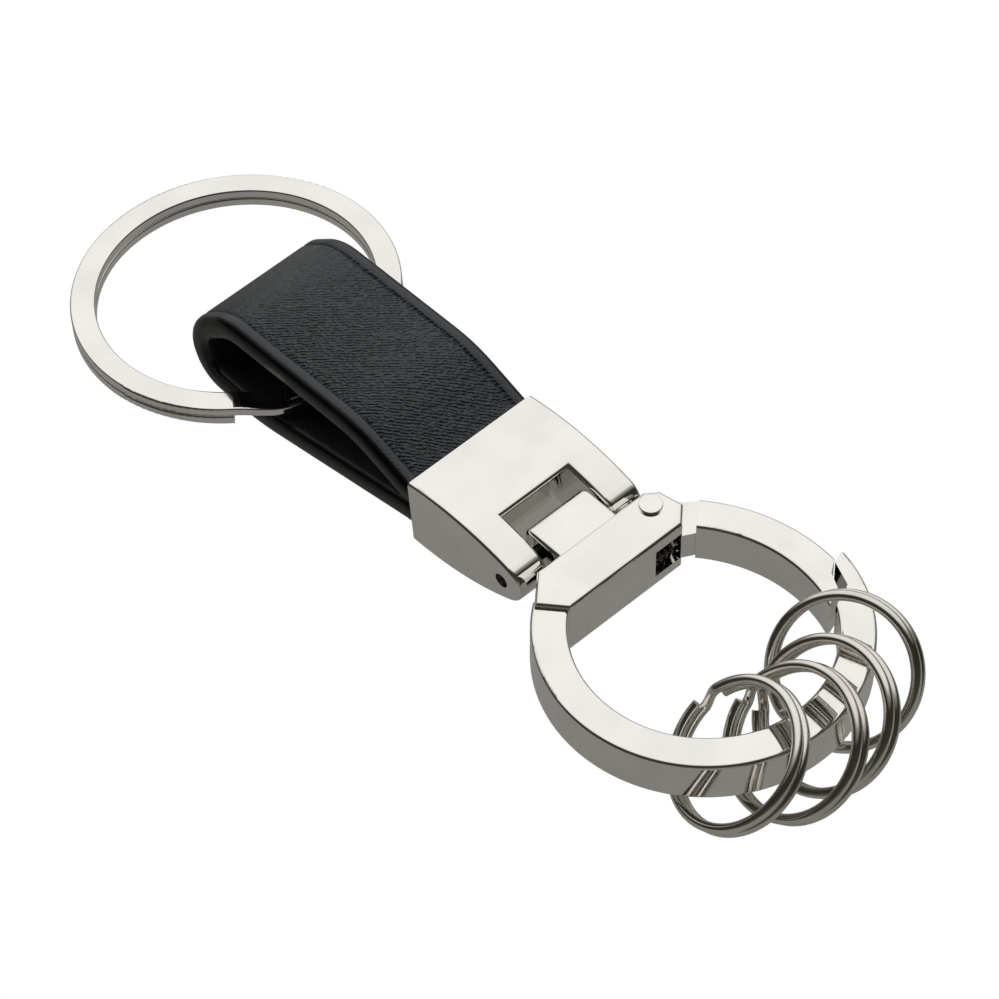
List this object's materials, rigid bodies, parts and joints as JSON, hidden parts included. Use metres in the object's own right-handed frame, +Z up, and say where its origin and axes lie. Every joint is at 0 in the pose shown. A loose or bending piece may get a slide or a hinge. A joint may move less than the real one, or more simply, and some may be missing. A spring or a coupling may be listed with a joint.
{
  "type": "key organiser",
  "caption": "Leather loop with a large split ring, hinged through a metal ferrule to a spring-gated ring that carries small key rings.",
  "frame": {"origin": "centre of the gated ring, on the middle plane of its arm", "axes": "+X from the leather loop to the far side of the gated ring, +Z up and square to the gated ring, so +Y runs along the hinge pin to the gate side"},
  "size_m": [0.1095, 0.0351, 0.0167],
  "materials": {
    "plated_casting": "polished nickel-coloured plating",
    "plated_gate": "polished nickel-coloured plating",
    "rivet_steel": "polished plated rivet",
    "spring_steel": "dark spring wire",
    "pin_steel": "plain steel pin",
    "strap_leather": "black fine-grained leather with painted edges",
    "flat_ring_steel": "polished flat wire",
    "key_ring_steel": "polished darker round wire"
  },
  "bodies": {
    "carrier": {"carrier": "plated_casting", "gate_rivet": "rivet_steel", "gate_spring": "spring_steel"},
    "holder": {"ferrule": "plated_casting", "strap": "strap_leather", "hinge_pin": "pin_steel"},
    "gate": {"gate": "plated_gate"},
    "large_ring": {"large_ring": "flat_ring_steel"},
    "key_ring_4": {"key_ring_4": "key_ring_steel"},
    "key_ring_3": {"key_ring_3": "key_ring_steel"},
    "key_ring_2": {"key_ring_2": "key_ring_steel"},
    "key_ring_1": {"key_ring_1": "key_ring_steel"}
  },
  "joints": [
    {"name": "fold", "type": "hinge", "parent": "carrier", "child": "holder", "pos_m": [-0.0194, -0.0004, -0.0003], "axis": [0, 1, 0], "range_deg": [-74.5, 85.5]},
    {"name": "gate_open", "type": "hinge", "parent": "carrier", "child": "gate", "pos_m": [-0.0141, 0.0065, -0.0003], "axis": [0, 0, -1], "range_deg": [0, 12], "stiffness_Nm_per_rad": 0.02, "springref_deg": -28.65, "deforming": ["gate_spring"]},
    {"name": "large_ring_swing", "type": "hinge", "parent": "holder", "child": "large_ring", "pos_m": [-0.05248, -0.0004, -0.00325], "axis": [0, 1, 0], "range_deg": [-5, 90]},
    {"name": "key_ring_4_slide", "type": "hinge", "parent": "carrier", "child": "key_ring_4", "pos_m": [0, 0, 0], "axis": [0, 0, 1], "range_deg": [-25, 0]},
    {"name": "key_ring_3_slide", "type": "hinge", "parent": "key_ring_4", "child": "key_ring_3", "pos_m": [0, 0, 0], "axis": [0, 0, 1], "range_deg": [-12, 0]},
    {"name": "key_ring_2_slide", "type": "hinge", "parent": "key_ring_3", "child": "key_ring_2", "pos_m": [0, 0, 0], "axis": [0, 0, 1], "range_deg": [-15, 0]},
    {"name": "key_ring_1_slide", "type": "hinge", "parent": "key_ring_2", "child": "key_ring_1", "pos_m": [0, 0, 0], "axis": [0, 0, 1], "range_deg": [-15, 0]}
  ]
}
